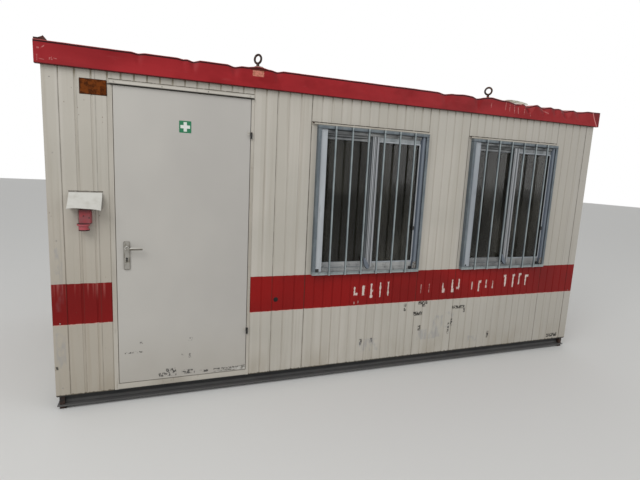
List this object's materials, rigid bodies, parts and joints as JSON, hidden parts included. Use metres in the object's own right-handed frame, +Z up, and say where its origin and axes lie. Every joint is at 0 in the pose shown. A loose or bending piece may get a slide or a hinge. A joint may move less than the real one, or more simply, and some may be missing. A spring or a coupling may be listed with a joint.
{
  "type": "portable site cabin",
  "caption": "Walk-in site cabin of ribbed sandwich panels on a channel base, with a hinged door, barred sliding windows, a red fascia and lifting eyes.",
  "frame": {"origin": "on the ground under the middle of the whole outline", "axes": "+Z up, +X along the door side from its left end to its right end, the door side faces -Y"},
  "size_m": [5.06, 2.55, 2.6778],
  "materials": {
    "wall_paint": "satin, weathered",
    "rail_paint": "matt, dirty",
    "rusty_steel": "rusty",
    "joist_steel": "dull zinc",
    "deck_wood": "worn sheet",
    "lining_wood": "grooved board, dull",
    "ceiling_white": "matt",
    "roof_steel": "weathered",
    "fascia_red": "satin, faded",
    "eye_iron": "rusty",
    "frame_paint": "satin",
    "door_paint": "satin",
    "hinge_black": "matt",
    "lock_steel": "worn",
    "window_aluminium": "dull",
    "window_pane": "clear, dusty",
    "grille_zinc": "dull zinc",
    "hood_white": "satin",
    "inlet_red": "faded"
  },
  "bodies": {
    "cabin": {"base_rails_end": "rail_paint", "base_rails_long": "rail_paint", "ceiling": "ceiling_white", "corner_feet": "rusty_steel", "corner_posts": "wall_paint", "door_head": "frame_paint", "door_jambs": "frame_paint", "door_sill": "frame_paint", "drip_strip": "frame_paint", "end_linings": "lining_wood", "fascia_front": "fascia_red", "fascia_left": "fascia_red", "fascia_rear": "fascia_red", "fascia_right": "fascia_red", "floor_deck": "deck_wood", "floor_joists": "joist_steel", "frame_hinges": "hinge_black", "front_lining": "lining_wood", "front_wall_beside_door": "wall_paint", "front_wall_between_windows": "wall_paint", "front_wall_left": "wall_paint", "front_wall_over_door": "wall_paint", "front_wall_over_window_left": "wall_paint", "front_wall_over_window_right": "wall_paint", "front_wall_right": "wall_paint", "front_wall_under_window_left": "wall_paint", "front_wall_under_window_right": "wall_paint", "inlet_hood": "hood_white", "left_end_wall": "wall_paint", "lifting_eyes": "eye_iron", "power_inlet": "inlet_red", "rail_stiffeners": "rusty_steel", "rear_lining": "lining_wood", "rear_wall": "wall_paint", "right_end_wall": "wall_paint", "roof_deck": "roof_steel", "roof_rails_end": "rail_paint", "roof_rails_long": "rail_paint", "sliding_sashes": "window_aluminium", "window_flashings": "frame_paint", "window_frames": "window_aluminium", "window_glass": "window_pane", "window_grille_left": "grille_zinc", "window_grille_right": "grille_zinc", "window_side_strips": "wall_paint"},
    "door": {"door_leaf": "door_paint", "leaf_hinges": "hinge_black", "lock_plates": "lock_steel"},
    "levers": {"lever_handles": "lock_steel"},
    "inlet_lid": {"inlet_lid": "inlet_red"}
  },
  "joints": [
    {"name": "door_swing", "type": "hinge", "parent": "cabin", "child": "door", "pos_m": [-1.116, -1.165, 1.3], "axis": [0, 0, 1], "range_deg": [0, 170]},
    {"name": "lever_turn", "type": "hinge", "parent": "door", "child": "levers", "pos_m": [-2.009, -1.135, 1.201], "axis": [0, 1, 0], "range_deg": [0, 40], "stiffness_Nm_per_rad": 1.2, "springref_deg": -22.92},
    {"name": "inlet_lid_swing", "type": "hinge", "parent": "cabin", "child": "inlet_lid", "pos_m": [-2.242, -1.199, 1.341], "axis": [0, -1, 0], "range_deg": [0, 110], "stiffness_Nm_per_rad": 0.05, "springref_deg": -28.65}
  ]
}
